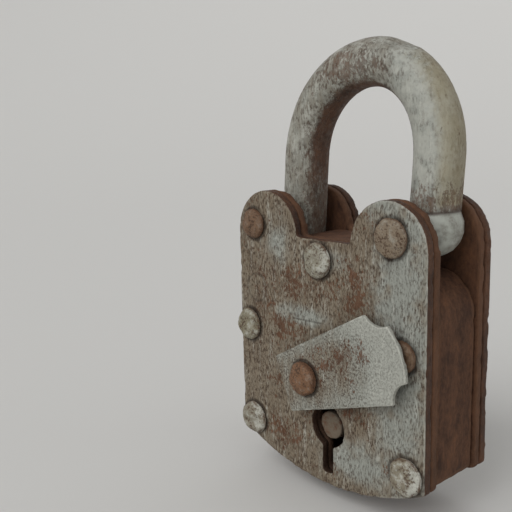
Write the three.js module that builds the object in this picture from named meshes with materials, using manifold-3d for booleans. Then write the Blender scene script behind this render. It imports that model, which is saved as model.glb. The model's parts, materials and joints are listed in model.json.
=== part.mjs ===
// An old riveted iron padlock: a case between two pairs of plates, a shackle that swings on a rivet
// in the ears, a drop cover over the keyhole, and a bolt that the key throws into the shackle's toe.
// Millimetres. X runs across the lock, Y from front to back, and Z up from the lowest point of the foot.
import * as THREE from 'three';
import { mergeVertices } from 'three/addons/utils/BufferGeometryUtils.js';
import Module from 'manifold-3d';

const wasm = await Module();
wasm.setup();

// Plates: two laminations at the front and two at the back, all of one outline
const PLATE_WIDTH = 60;
const NOTCH_WIDTH = 17.2;
const NOTCH_HEIGHT = 61.45;
const FOOT_RISE = 7.65;
const PLATE_THICKNESS = 2.4;
const LINER_THICKNESS = 2.4;

// Shackle: one round bar, bent to a bow that leans towards its hinge
const BAR_RADIUS = 5.9;
const SHACKLE_PLAY = 3.1;
const SHACKLE_BACK_GAP = 0.65;
const SHACKLE_LEAN = 0.078;
const BOW_SPRING_ABOVE_NOTCH = 18.9;
const BOW_RISE = 21.9;
const TOE_LEG_FROM_EAR = 0.9;
const HEEL_FROM_HINGE = { x: 1.4, z: 1.2 };
const HEEL_STEP = 1.1;
const COLLAR_ABOVE_HINGE = 4.2;
const HEEL_SIDE_GAP = 0.35;
const TOE_DEPTH = 19;
const TOE_NOTCH_HEIGHT = 5.6;
const TOE_NOTCH_DEPTH = 4.6;
const TOE_TIP_BELOW_NOTCH = 3.8;

// Case wall between the plates
const CASE_INSET = 0.6;
const WALL = 2.2;
const TOE_WALL_DROP = 5.05;
const BRIDGE_DROP = 0.55;
const SHOULDER_DROP = 6.45;
const SHOULDER_RADIUS = 10;
const BOSS_WALL = 1.85;

// Rivets: distances of their centres from the plate's edges and of the ears' centres
const HINGE_FROM_EAR = { x: 1.3, z: 2.55 };
const TOE_RIVET_RAISE = 2;
const TOE_RIVET_OUT = { front: 4.4, back: 2.4 };
const TOP_RIVET_OFFSET = -1.2;
const TOP_RIVET_DROP = 4.95;
const SIDE_RIVETS = [
  { name: 'mid_rivet_left', side: -1, margin: 3.7, below_notch: 25.15, head: 4.4 },
  { name: 'mid_rivet_right', side: 1, margin: 6.1, below_notch: 23.15, head: 3.9 },
  { name: 'low_rivet_left', side: -1, margin: 4.8, above_foot: 10.2, head: 4.6 },
  { name: 'low_rivet_right', side: 1, margin: 4.8, above_foot: 10.8, head: 4.6 },
];
const SHANK_RADIUS = 2.2;
const HINGE_SHANK_RADIUS = 2.8;
const HEAD_HEIGHT = 1.9;
const EAR_HEAD_RADIUS = 4;
const HINGE_HEAD_RADIUS = 4.6;
const TOP_HEAD_RADIUS = 4.5;
const TAIL_RADIUS = 3.4;
const TAIL_HEIGHT = 0.6;
const HEAD_SIDE_SHARE = 0.4;

// Keyhole, key post and ring wards
const KEY_OFFSET = 1.3;
const KEY_HEIGHT = 15.3;
const KEYHOLE_RADIUS = 5.3;
const KEY_SLOT_WIDTH = 3.2;
const KEY_SLOT_REACH = 12.1;
const POST_RADIUS = 3.6;
const POST_SETBACK = 1.2;
const POST_FLANGE_RADIUS = 5.4;
const POST_FLANGE_THICKNESS = 1.2;
const WARD_RADIUS = 7.6;
const WARD_THICKNESS = 1.2;
const WARD_HEIGHT = 2.3;
const WARD_GAP_HALF_ANGLE = 0.7;

// Drop cover: a fishtail on a rivet, held clear of the rivet heads by a washer
const COVER_PIVOT = { x: -2.56, z: 27.76 };
const COVER_ANGLE = THREE.MathUtils.degToRad(23.5);
const COVER_THICKNESS = 1.5;
const COVER_STANDOFF = 2.2;
const COVER_SMALL_END = 8.4;
const COVER_SMALL_HALF = 7.2;
const COVER_CORNER = 24.7;
const COVER_CORNER_HALF = 10.4;
const COVER_TAIL = 29.9;
const COVER_TAIL_HALF = 6.5;
const COVER_TAIL_CROWN = 1.3;
const COVER_SCALLOP_RADIUS = 4.6;
const COVER_RIVET_SHANK = 1.9;
const COVER_RIVET_HEAD = 4.3;
const COVER_RIVET_HEIGHT = 2.6;
const COVER_WASHER_RADIUS = 4.2;

// Bolt, its guide pins and its spring
const BOLT_THICKNESS = 3.2;
const BOLT_TRAVEL = 5;
const BOLT_HEAD_HEIGHT = 5;
const BOLT_BAR_HEIGHT = 9.4;
const BOLT_BAR_GAP = 7.2;
const BOLT_TAIL_WIDTH = 9;
const TALON_WIDTH = 3;
const TALON_DEPTH = 3.5;
const KEY_BIT_REACH = 10.2;
const GUIDE_PIN_RADIUS = 1.5;
const GUIDE_COLLAR_RADIUS = 2.8;
const GUIDE_PIN_MARGIN = 4;
const SPRING_THICKNESS = 0.8;
const SPRING_WIDTH = 3;
const SPRING_PIN_DROP = 16;
const SPRING_PIN_FROM_WALL = 7;
const SPRING_ARM_LEAN = 5;

// Clearances
const HOLE_CLEARANCE = 0.15;
const RUNNING_CLEARANCE = 0.3;
const SWING_CLEARANCE = 0.4;

// Facets
const ARC_STEPS = 8;
const ROUND_STEPS = 18;
const BAR_SIDES = 16;
const BOW_STEPS = 44;
const DOME_STEPS = 3;

// Sizes that follow from those above
const HALF_WIDTH = PLATE_WIDTH / 2;
const EAR_RADIUS = (PLATE_WIDTH - NOTCH_WIDTH) / 4;
const EAR_X = NOTCH_WIDTH / 2 + EAR_RADIUS;
const FOOT_RADIUS = (HALF_WIDTH ** 2 + FOOT_RISE ** 2) / (2 * FOOT_RISE);
const CASE_DEPTH = 2 * BAR_RADIUS + SHACKLE_PLAY;
const CASE_BACK = CASE_DEPTH / 2;
const CASE_FRONT = -CASE_BACK;
const PLATE_FRONT = CASE_FRONT - LINER_THICKNESS - PLATE_THICKNESS;
const PLATE_BACK = CASE_BACK + LINER_THICKNESS + PLATE_THICKNESS;
const CASE_HALF = HALF_WIDTH - CASE_INSET;
const CAVITY_HALF = CASE_HALF - WALL;
const BRIDGE_Z = NOTCH_HEIGHT - BRIDGE_DROP;
const SHOULDER_Z = NOTCH_HEIGHT - SHOULDER_DROP;
const CEILING_Z = SHOULDER_Z - WALL;

const HINGE = { x: EAR_X + HINGE_FROM_EAR.x, z: NOTCH_HEIGHT + HINGE_FROM_EAR.z };
const toeRivet = (out) => ({ x: -EAR_X - out, z: NOTCH_HEIGHT + TOE_RIVET_RAISE });
const TOP_RIVET = { x: TOP_RIVET_OFFSET, z: NOTCH_HEIGHT - TOP_RIVET_DROP };
const SIDE_PLACES = SIDE_RIVETS.map(({ side, margin, above_foot, below_notch }) => ({
  x: side * (HALF_WIDTH - margin),
  z: above_foot ?? NOTCH_HEIGHT - below_notch,
}));
const KEY = { x: KEY_OFFSET, z: KEY_HEIGHT };
const HEEL = { x: HINGE.x + HEEL_FROM_HINGE.x, z: HINGE.z + HEEL_FROM_HINGE.z };
const HEEL_RADIUS = BAR_RADIUS + HEEL_STEP;
const HEEL_SWEEP = HEEL_RADIUS + Math.hypot(HEEL_FROM_HINGE.x, HEEL_FROM_HINGE.z) + SWING_CLEARANCE;
const SHACKLE_Y = SHACKLE_PLAY / 2 - SHACKLE_BACK_GAP;
const BOW_SPRING_Z = NOTCH_HEIGHT + BOW_SPRING_ABOVE_NOTCH;
const TOE_X = TOE_LEG_FROM_EAR - EAR_X;
const TOE_TIP_Z = NOTCH_HEIGHT - TOE_DEPTH;
const TOE_NOTCH_Z = TOE_TIP_Z + TOE_TIP_BELOW_NOTCH;
const legX = (x, z) => x + SHACKLE_LEAN * (z - HINGE.z);
const TOE_INNER_X = legX(TOE_X, NOTCH_HEIGHT) + BAR_RADIUS;
const BOW_TOP = { x: legX((TOE_X + HEEL.x) / 2, BOW_SPRING_Z + BOW_RISE), z: BOW_SPRING_Z + BOW_RISE };
const COVER_BACK = PLATE_FRONT - COVER_STANDOFF;
const COVER_FRONT = COVER_BACK - COVER_THICKNESS;
const BOLT_HEAD_Z = TOE_NOTCH_Z + (TOE_NOTCH_HEIGHT - BOLT_HEAD_HEIGHT) / 2;
const BOLT_TOP_Z = BOLT_HEAD_Z + BOLT_HEAD_HEIGHT;
const BOLT_LOW_Z = BOLT_TOP_Z - BOLT_BAR_HEIGHT;
const BOLT_HEAD_X = legX(TOE_X, BOLT_TOP_Z) + BAR_RADIUS + SWING_CLEARANCE;
const BOLT_END_X = CAVITY_HALF - BOLT_BAR_GAP;
const GUIDE_PIN_PLACES = [
  BOLT_HEAD_X + BOLT_TRAVEL + GUIDE_PIN_MARGIN,
  BOLT_END_X - BOLT_TRAVEL - GUIDE_PIN_MARGIN,
];
const GUIDE_PIN_Z = BOLT_TOP_Z - BOLT_BAR_HEIGHT / 2;

// Finishes, as colour, roughness and metalness
const FINISH = {
  worn_plate: new THREE.MeshStandardMaterial({ color: 0x9d9a8e, roughness: 0.75, metalness: 0.35 }),
  rusty_iron: new THREE.MeshStandardMaterial({ color: 0x6b3f30, roughness: 0.9, metalness: 0.2 }),
  worn_bar: new THREE.MeshStandardMaterial({ color: 0x8f877a, roughness: 0.7, metalness: 0.4 }),
  rivet_iron: new THREE.MeshStandardMaterial({ color: 0x94745a, roughness: 0.8, metalness: 0.3 }),
  cover_plate: new THREE.MeshStandardMaterial({ color: 0xa4a195, roughness: 0.7, metalness: 0.4 }),
  inner_iron: new THREE.MeshStandardMaterial({ color: 0x4a3a33, roughness: 0.85, metalness: 0.4 }),
};

// A closed three.js geometry as a solid that can be joined and cut
function solid(geometry) {
  const bare = geometry.index ? geometry.toNonIndexed() : geometry.clone();
  for (const name of ['normal', 'uv']) bare.deleteAttribute(name);
  const merged = mergeVertices(bare, 1e-4);
  const corners = merged.index.array;
  const triangles = [];
  for (let i = 0; i < corners.length; i += 3) {
    const [a, b, c] = corners.subarray(i, i + 3);
    if (a !== b && b !== c && c !== a) triangles.push(a, b, c);
  }
  if (signedVolume(merged.attributes.position, triangles) < 0) triangles.reverse();
  return new wasm.Manifold(new wasm.Mesh({
    numProp: 3,
    vertProperties: Float32Array.from(merged.attributes.position.array),
    triVerts: Uint32Array.from(triangles),
  }));
}

function signedVolume(position, triangles) {
  const [a, b, c] = [new THREE.Vector3(), new THREE.Vector3(), new THREE.Vector3()];
  let sum = 0;
  for (let i = 0; i < triangles.length; i += 3) {
    a.fromBufferAttribute(position, triangles[i]);
    b.fromBufferAttribute(position, triangles[i + 1]);
    c.fromBufferAttribute(position, triangles[i + 2]);
    sum += a.dot(b.cross(c));
  }
  return sum / 6;
}

// A named mesh of a solid
function piece(name, body, finish) {
  const { vertProperties, triVerts } = body.getMesh();
  const geometry = new THREE.BufferGeometry();
  geometry.setAttribute('position', new THREE.BufferAttribute(vertProperties, 3));
  geometry.setIndex(new THREE.BufferAttribute(triVerts, 1));
  geometry.computeVertexNormals();
  const mesh = new THREE.Mesh(geometry, finish);
  mesh.name = name;
  return mesh;
}

// An outline in X and Z, as thick as from front to back in Y
function slab(outline, front, back) {
  const geometry = new THREE.ExtrudeGeometry(outline, {
    depth: back - front,
    bevelEnabled: false,
    curveSegments: ARC_STEPS,
  });
  geometry.rotateX(Math.PI / 2);
  geometry.translate(0, back, 0);
  return solid(geometry);
}

function block(low, high, front, back) {
  const outline = new THREE.Shape();
  outline.moveTo(low.x, low.z);
  outline.lineTo(high.x, low.z);
  outline.lineTo(high.x, high.z);
  outline.lineTo(low.x, high.z);
  return slab(outline, front, back);
}

// A round bar along Y
function rod(centre, radius, front, back, sides = ROUND_STEPS) {
  const geometry = new THREE.CylinderGeometry(radius, radius, back - front, sides);
  geometry.translate(centre.x, (front + back) / 2, centre.z);
  return solid(geometry);
}

// A body turned about a line along Y, from the radius and Y of each corner of its profile
function turned(profile) {
  const points = profile.map(([radius, y]) => new THREE.Vector2(radius, y));
  return solid(new THREE.LatheGeometry(points, ROUND_STEPS));
}

function circle(centre, radius) {
  const path = new THREE.Path();
  path.absarc(centre.x, centre.z, radius, 0, 2 * Math.PI, false);
  return path;
}

// Plates

function plateOutline(toe_rivet_out) {
  const half_angle = Math.asin(HALF_WIDTH / FOOT_RADIUS);
  const outline = new THREE.Shape();
  outline.absarc(0, FOOT_RADIUS, FOOT_RADIUS, -Math.PI / 2 - half_angle, -Math.PI / 2 + half_angle, false);
  outline.lineTo(HALF_WIDTH, NOTCH_HEIGHT);
  outline.absarc(EAR_X, NOTCH_HEIGHT, EAR_RADIUS, 0, Math.PI, false);
  outline.lineTo(-NOTCH_WIDTH / 2, NOTCH_HEIGHT);
  outline.absarc(-EAR_X, NOTCH_HEIGHT, EAR_RADIUS, 0, Math.PI, false);
  outline.closePath();
  const hole = SHANK_RADIUS + HOLE_CLEARANCE;
  const places = [toeRivet(toe_rivet_out), TOP_RIVET, ...SIDE_PLACES];
  for (const place of places) outline.holes.push(circle(place, hole));
  outline.holes.push(circle(HINGE, HINGE_SHANK_RADIUS + HOLE_CLEARANCE));
  return outline;
}

function keyholeOutline() {
  const half = KEY_SLOT_WIDTH / 2;
  const mouth = Math.asin(half / KEYHOLE_RADIUS);
  const path = new THREE.Path();
  path.absarc(KEY.x, KEY.z, KEYHOLE_RADIUS, -Math.PI / 2 + mouth, 1.5 * Math.PI - mouth, false);
  path.lineTo(KEY.x - half, KEY.z - KEY_SLOT_REACH);
  path.lineTo(KEY.x + half, KEY.z - KEY_SLOT_REACH);
  path.closePath();
  return path;
}

function frontOutline() {
  const outline = plateOutline(TOE_RIVET_OUT.front);
  outline.holes.push(keyholeOutline());
  outline.holes.push(circle(COVER_PIVOT, COVER_RIVET_SHANK + HOLE_CLEARANCE));
  return outline;
}

function plates() {
  const front_seam = PLATE_FRONT + PLATE_THICKNESS;
  const back_seam = PLATE_BACK - PLATE_THICKNESS;
  return [
    piece('front_plate', slab(frontOutline(), PLATE_FRONT, front_seam), FINISH.worn_plate),
    piece('front_liner', slab(frontOutline(), front_seam, CASE_FRONT), FINISH.rusty_iron),
    piece('back_liner', slab(plateOutline(TOE_RIVET_OUT.back), CASE_BACK, back_seam), FINISH.rusty_iron),
    piece('back_plate', slab(plateOutline(TOE_RIVET_OUT.back), back_seam, PLATE_BACK), FINISH.worn_plate),
  ];
}

// Case: a wall that follows the foot and the sides, rounds over at the hinge's shoulder and ends at
// the opening for the shackle's toe

function caseBand() {
  const toe_wall_z = NOTCH_HEIGHT - TOE_WALL_DROP;
  const bridge_x = TOE_INNER_X + SWING_CLEARANCE;
  const shoulder = { x: CASE_HALF - SHOULDER_RADIUS, z: SHOULDER_Z - SHOULDER_RADIUS };
  const outer = FOOT_RADIUS - CASE_INSET;
  const inner = outer - WALL;
  const outer_angle = Math.asin(CASE_HALF / outer);
  const inner_angle = Math.asin(CAVITY_HALF / inner);
  const outline = new THREE.Shape();
  outline.absarc(0, FOOT_RADIUS, outer, -Math.PI / 2 - outer_angle, -Math.PI / 2 + outer_angle, false);
  outline.absarc(shoulder.x, shoulder.z, SHOULDER_RADIUS, 0, Math.PI / 2, false);
  outline.lineTo(shoulder.x, BRIDGE_Z);
  outline.lineTo(bridge_x, BRIDGE_Z);
  outline.lineTo(bridge_x, CEILING_Z);
  outline.absarc(shoulder.x, shoulder.z, SHOULDER_RADIUS - WALL, Math.PI / 2, 0, true);
  outline.absarc(0, FOOT_RADIUS, inner, -Math.PI / 2 + inner_angle, -Math.PI / 2 - inner_angle, true);
  outline.lineTo(-CAVITY_HALF, toe_wall_z);
  outline.lineTo(-CASE_HALF, toe_wall_z);
  outline.closePath();

  let band = slab(outline, CASE_FRONT, CASE_BACK);
  const hole = SHANK_RADIUS + HOLE_CLEARANCE;
  const places = [TOP_RIVET, ...SIDE_PLACES];
  const inside = block({ x: -CASE_HALF, z: 0 }, { x: CASE_HALF, z: BRIDGE_Z }, CASE_FRONT, CASE_BACK);
  for (const place of places) {
    const boss = rod(place, hole + BOSS_WALL, CASE_FRONT, CASE_BACK);
    band = band.add(boss.intersect(inside));
  }
  for (const place of places) band = band.subtract(rod(place, hole, CASE_FRONT - 1, CASE_BACK + 1));
  band = band.subtract(rod(HINGE, HEEL_SWEEP, CASE_FRONT - 1, CASE_BACK + 1, 2 * ROUND_STEPS));
  return piece('case_band', band, FINISH.rusty_iron);
}

// Shackle

// The bar's centre line: up the toe leg, over a half ellipse, and down the hinge leg
class BowLine extends THREE.Curve {
  getPoint(t) {
    const toe_leg = BOW_SPRING_Z - TOE_TIP_Z;
    const hinge_leg = BOW_SPRING_Z - HEEL.z;
    const half_span = (HEEL.x - TOE_X) / 2;
    const bow = Math.PI * (half_span + BOW_RISE) / 2;
    const along = t * (toe_leg + bow + hinge_leg);
    const angle = Math.PI * THREE.MathUtils.clamp((along - toe_leg) / bow, 0, 1);
    const below = Math.max(toe_leg - along, along - toe_leg - bow, 0);
    const x = (TOE_X + HEEL.x) / 2 - half_span * Math.cos(angle);
    const z = BOW_SPRING_Z + BOW_RISE * Math.sin(angle) - below;
    return new THREE.Vector3(legX(x, z), SHACKLE_Y, z);
  }
}

function shackle() {
  const section = new THREE.Shape();
  section.absarc(0, 0, BAR_RADIUS, 0, 2 * Math.PI, false);
  const bar = solid(new THREE.ExtrudeGeometry(section, {
    steps: BOW_STEPS,
    curveSegments: BAR_SIDES / 2,
    extrudePath: new BowLine(),
    bevelEnabled: false,
  }));

  // The heel is a ball round the hinge rivet, flat where it would rub on the plates, under a low collar
  const ball = new THREE.SphereGeometry(HEEL_RADIUS, ROUND_STEPS, ROUND_STEPS / 2);
  ball.rotateX(Math.PI / 2);
  ball.translate(HEEL.x, SHACKLE_Y, HEEL.z);
  const side = 2 * HEEL_RADIUS;
  const heel_space = block(
    { x: HEEL.x - side, z: HEEL.z - side },
    { x: HEEL.x + side, z: HINGE.z + COLLAR_ABOVE_HINGE },
    CASE_FRONT + HEEL_SIDE_GAP,
    CASE_BACK - HEEL_SIDE_GAP,
  );
  const heel = solid(ball).intersect(heel_space);

  // The toe's notch takes the bolt
  const notch_x = legX(TOE_X, TOE_NOTCH_Z) + BAR_RADIUS - TOE_NOTCH_DEPTH;
  const toe_notch = block(
    { x: notch_x, z: TOE_NOTCH_Z },
    { x: notch_x + 2 * BAR_RADIUS, z: TOE_NOTCH_Z + TOE_NOTCH_HEIGHT },
    CASE_FRONT,
    CASE_BACK,
  );

  // Below the hinge the toe's outer side follows an arc about the hinge, so that it clears the wall
  const toe_reach = HINGE.x + CAVITY_HALF - SWING_CLEARANCE;
  const beyond = block(
    { x: -PLATE_WIDTH, z: TOE_TIP_Z - BAR_RADIUS },
    { x: 0, z: HINGE.z },
    CASE_FRONT,
    CASE_BACK,
  ).subtract(rod(HINGE, toe_reach, CASE_FRONT - 1, CASE_BACK + 1, 4 * ROUND_STEPS));

  const bore = rod(HINGE, HINGE_SHANK_RADIUS + RUNNING_CLEARANCE, CASE_FRONT, CASE_BACK);
  const body = bar.add(heel).subtract(toe_notch).subtract(beyond).subtract(bore);
  return piece('shackle', body, FINISH.worn_bar);
}

// Rivets: a low dome with a short upright side at each end of a shank

function dome(radius, height, face, outward) {
  const side = HEAD_SIDE_SHARE * height;
  const points = [[radius, face]];
  for (let i = 0; i < DOME_STEPS; i += 1) {
    const angle = (i / DOME_STEPS) * Math.PI / 2;
    points.push([radius * Math.cos(angle), face + outward * (side + (height - side) * Math.sin(angle))]);
  }
  points.push([0, face + outward * height]);
  return points;
}

function rivet(name, place, shank, front, back) {
  const profile = [
    ...dome(front.radius, front.height, front.face, -1).reverse(),
    [shank, front.face],
    [shank, back.face],
    ...dome(back.radius, back.height, back.face, 1),
  ];
  const mesh = piece(name, turned(profile), FINISH.rivet_iron);
  mesh.position.set(place.x, 0, place.z);
  return mesh;
}

function throughRivet(name, place, shank, radius) {
  const front = { radius, height: HEAD_HEIGHT, face: PLATE_FRONT };
  const back = { radius, height: HEAD_HEIGHT, face: PLATE_BACK };
  return rivet(name, place, shank, front, back);
}

function rivets() {
  const tail = { radius: TAIL_RADIUS, height: TAIL_HEIGHT };
  const ear_head = { radius: EAR_HEAD_RADIUS, height: HEAD_HEIGHT };
  return [
    throughRivet('hinge_rivet', HINGE, HINGE_SHANK_RADIUS, HINGE_HEAD_RADIUS),
    throughRivet('top_rivet', TOP_RIVET, SHANK_RADIUS, TOP_HEAD_RADIUS),
    ...SIDE_RIVETS.map(({ name, head }, i) => throughRivet(name, SIDE_PLACES[i], SHANK_RADIUS, head)),
    rivet('toe_ear_rivet_front', toeRivet(TOE_RIVET_OUT.front), SHANK_RADIUS,
      { ...ear_head, face: PLATE_FRONT }, { ...tail, face: CASE_FRONT }),
    rivet('toe_ear_rivet_back', toeRivet(TOE_RIVET_OUT.back), SHANK_RADIUS,
      { ...tail, face: CASE_BACK }, { ...ear_head, face: PLATE_BACK }),
    rivet('cover_rivet', COVER_PIVOT, COVER_RIVET_SHANK,
      { radius: COVER_RIVET_HEAD, height: COVER_RIVET_HEIGHT, face: COVER_FRONT },
      { ...tail, face: CASE_FRONT }),
  ];
}

// Drop cover

// The cover lies along its own first axis, and is turned about its rivet to where it was left
function keyholeCover() {
  const tail_half_angle = Math.atan2(COVER_TAIL_CROWN, COVER_TAIL_HALF);
  const tail_radius = COVER_TAIL_HALF / Math.sin(2 * tail_half_angle);
  const crown_centre = COVER_TAIL + COVER_TAIL_CROWN - tail_radius;
  const outline = new THREE.Shape();
  outline.moveTo(-COVER_SMALL_END, -COVER_SMALL_HALF);
  outline.lineTo(COVER_CORNER, -COVER_CORNER_HALF);
  scallop(outline, { x: COVER_CORNER, z: -COVER_CORNER_HALF }, { x: COVER_TAIL, z: -COVER_TAIL_HALF });
  outline.absarc(crown_centre, 0, tail_radius, -2 * tail_half_angle, 2 * tail_half_angle, false);
  scallop(outline, { x: COVER_TAIL, z: COVER_TAIL_HALF }, { x: COVER_CORNER, z: COVER_CORNER_HALF });
  outline.lineTo(-COVER_SMALL_END, COVER_SMALL_HALF);
  outline.closePath();
  outline.holes.push(circle({ x: 0, z: 0 }, COVER_RIVET_SHANK + RUNNING_CLEARANCE));
  const mesh = piece('keyhole_cover', slab(outline, COVER_FRONT, COVER_BACK), FINISH.cover_plate);
  mesh.position.set(COVER_PIVOT.x, 0, COVER_PIVOT.z);
  mesh.rotation.y = -COVER_ANGLE;
  return mesh;
}

// A hollow arc between two corners, with its centre on the outer side
function scallop(outline, from, to) {
  const start = new THREE.Vector2(from.x, from.z);
  const end = new THREE.Vector2(to.x, to.z);
  const chord = end.clone().sub(start);
  const rise = Math.sqrt(COVER_SCALLOP_RADIUS ** 2 - chord.lengthSq() / 4);
  const outward = new THREE.Vector2(chord.y, -chord.x).normalize();
  const centre = start.clone().add(end).multiplyScalar(0.5).addScaledVector(outward, rise);
  const first = start.sub(centre).angle();
  const last = end.sub(centre).angle();
  outline.absarc(centre.x, centre.y, COVER_SCALLOP_RADIUS, first, last, true);
}

function coverWasher() {
  const inner = COVER_RIVET_SHANK + HOLE_CLEARANCE;
  const ring = turned([
    [inner, PLATE_FRONT],
    [COVER_WASHER_RADIUS, PLATE_FRONT],
    [COVER_WASHER_RADIUS, COVER_BACK],
    [inner, COVER_BACK],
    [inner, PLATE_FRONT],
  ]);
  const mesh = piece('cover_washer', ring, FINISH.rivet_iron);
  mesh.position.set(COVER_PIVOT.x, 0, COVER_PIVOT.z);
  return mesh;
}

// Key post and wards

function keyPost() {
  const tip = PLATE_FRONT + POST_SETBACK;
  const flange = CASE_BACK - POST_FLANGE_THICKNESS;
  const post = turned([
    [0, tip],
    [POST_RADIUS, tip],
    [POST_RADIUS, flange],
    [POST_FLANGE_RADIUS, flange],
    [POST_FLANGE_RADIUS, CASE_BACK],
    [0, CASE_BACK],
  ]);
  const mesh = piece('key_post', post, FINISH.inner_iron);
  mesh.position.set(KEY.x, 0, KEY.z);
  return mesh;
}

// A ring that is open below, where the key's bit enters
function ward(name, front, back) {
  const start = -Math.PI / 2 + WARD_GAP_HALF_ANGLE;
  const end = 1.5 * Math.PI - WARD_GAP_HALF_ANGLE;
  const outline = new THREE.Shape();
  outline.absarc(KEY.x, KEY.z, WARD_RADIUS + WARD_THICKNESS, start, end, false);
  outline.absarc(KEY.x, KEY.z, WARD_RADIUS, end, start, true);
  outline.closePath();
  return piece(name, slab(outline, front, back), FINISH.inner_iron);
}

// Bolt: a bar whose head enters the toe, with a tail that the key's bit moves. It is drawn back here.

function bolt() {
  const tail_low = KEY.z + KEY_BIT_REACH;
  const tail_left = KEY.x - BOLT_TAIL_WIDTH / 2;
  const tail_right = KEY.x + BOLT_TAIL_WIDTH / 2;
  const outline = new THREE.Shape();
  outline.moveTo(BOLT_HEAD_X, BOLT_HEAD_Z);
  outline.lineTo(BOLT_HEAD_X + BOLT_TRAVEL, BOLT_HEAD_Z);
  outline.lineTo(BOLT_HEAD_X + BOLT_TRAVEL, BOLT_LOW_Z);
  outline.lineTo(tail_left, BOLT_LOW_Z);
  outline.lineTo(tail_left, tail_low);
  outline.lineTo(KEY.x - TALON_WIDTH / 2, tail_low);
  outline.lineTo(KEY.x - TALON_WIDTH / 2, tail_low + TALON_DEPTH);
  outline.lineTo(KEY.x + TALON_WIDTH / 2, tail_low + TALON_DEPTH);
  outline.lineTo(KEY.x + TALON_WIDTH / 2, tail_low);
  outline.lineTo(tail_right, tail_low);
  outline.lineTo(tail_right, BOLT_LOW_Z);
  outline.lineTo(BOLT_END_X, BOLT_LOW_Z);
  outline.lineTo(BOLT_END_X, BOLT_TOP_Z);
  outline.lineTo(BOLT_HEAD_X, BOLT_TOP_Z);
  outline.closePath();
  const slot = GUIDE_PIN_RADIUS + RUNNING_CLEARANCE;
  for (const x of GUIDE_PIN_PLACES) {
    const path = new THREE.Path();
    path.absarc(x, GUIDE_PIN_Z, slot, Math.PI / 2, 1.5 * Math.PI, false);
    path.absarc(x + BOLT_TRAVEL, GUIDE_PIN_Z, slot, -Math.PI / 2, Math.PI / 2, false);
    path.closePath();
    outline.holes.push(path);
  }
  return piece('bolt', slab(outline, -BOLT_THICKNESS / 2, BOLT_THICKNESS / 2), FINISH.inner_iron);
}

// A pin from plate to plate, with a collar that carries the bolt's back
function guidePin(name, x) {
  const collar = BOLT_THICKNESS / 2 + RUNNING_CLEARANCE;
  const pin = turned([
    [0, CASE_FRONT],
    [GUIDE_PIN_RADIUS, CASE_FRONT],
    [GUIDE_PIN_RADIUS, collar],
    [GUIDE_COLLAR_RADIUS, collar],
    [GUIDE_COLLAR_RADIUS, CASE_BACK],
    [0, CASE_BACK],
  ]);
  const mesh = piece(name, pin, FINISH.inner_iron);
  mesh.position.set(x, 0, GUIDE_PIN_Z);
  return mesh;
}

// A hairpin spring that wraps its pin: one arm presses up on the bolt, the other bears on the wall
function springAndPin() {
  const pin = { x: CAVITY_HALF - SPRING_PIN_FROM_WALL, z: BOLT_LOW_Z - SPRING_PIN_DROP };
  const wrap = GUIDE_PIN_RADIUS + RUNNING_CLEARANCE;
  const around = wrap + SPRING_THICKNESS;
  const bolt_arm = { x: pin.x - around - SPRING_ARM_LEAN, z: BOLT_LOW_Z - RUNNING_CLEARANCE };
  const wall_arm = { x: CAVITY_HALF - RUNNING_CLEARANCE, z: pin.z + around };
  const outline = new THREE.Shape();
  outline.moveTo(bolt_arm.x, bolt_arm.z);
  outline.lineTo(pin.x - around, pin.z);
  outline.absarc(pin.x, pin.z, around, Math.PI, 2 * Math.PI, false);
  outline.lineTo(wall_arm.x, wall_arm.z);
  outline.lineTo(wall_arm.x, wall_arm.z + SPRING_THICKNESS);
  outline.lineTo(pin.x + wrap, pin.z + SPRING_THICKNESS);
  outline.absarc(pin.x, pin.z, wrap, 0, Math.PI, true);
  outline.lineTo(bolt_arm.x + SPRING_THICKNESS, bolt_arm.z);
  outline.closePath();
  const half = SPRING_WIDTH / 2;
  return [
    piece('bolt_spring', slab(outline, -half, half), FINISH.inner_iron),
    piece('spring_pin', rod(pin, GUIDE_PIN_RADIUS, CASE_FRONT, CASE_BACK), FINISH.inner_iron),
  ];
}

// The whole lock, with its origin at the top of the bow's inside, where it hangs
const lock = new THREE.Group();
lock.add(...plates(), caseBand(), shackle(), ...rivets());
lock.add(keyholeCover(), coverWasher(), keyPost());
lock.add(ward('ward_ring_front', CASE_FRONT, CASE_FRONT + WARD_HEIGHT));
lock.add(ward('ward_ring_back', CASE_BACK - WARD_HEIGHT, CASE_BACK));
lock.add(bolt());
GUIDE_PIN_PLACES.forEach((x, i) => lock.add(guidePin(`bolt_guide_pin_${['left', 'right'][i]}`, x)));
lock.add(...springAndPin());
lock.position.set(-BOW_TOP.x, -SHACKLE_Y, BAR_RADIUS - BOW_TOP.z);

const padlock = new THREE.Group();
padlock.add(lock);
export default padlock;
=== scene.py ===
# %% [markdown]
# # An old riveted padlock
# Two laminated iron plates are riveted over a flat case, a forged shackle swings on a rivet
# between their ears, and a drop cover hides the keyhole. The construction comes as a fixed frame
# of solids at their real size. This lesson adds what time did to them: soft edges, dents, pits,
# a pale weathered skin and brown rust. Everything is worked out from the frame and a few named
# sizes, so the same script also looks right when the shackle or the cover is swung.

# %% Load the frame
import json
import math

import bmesh
import bpy
import numpy as np
from mathutils import Matrix, Vector, noise

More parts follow.
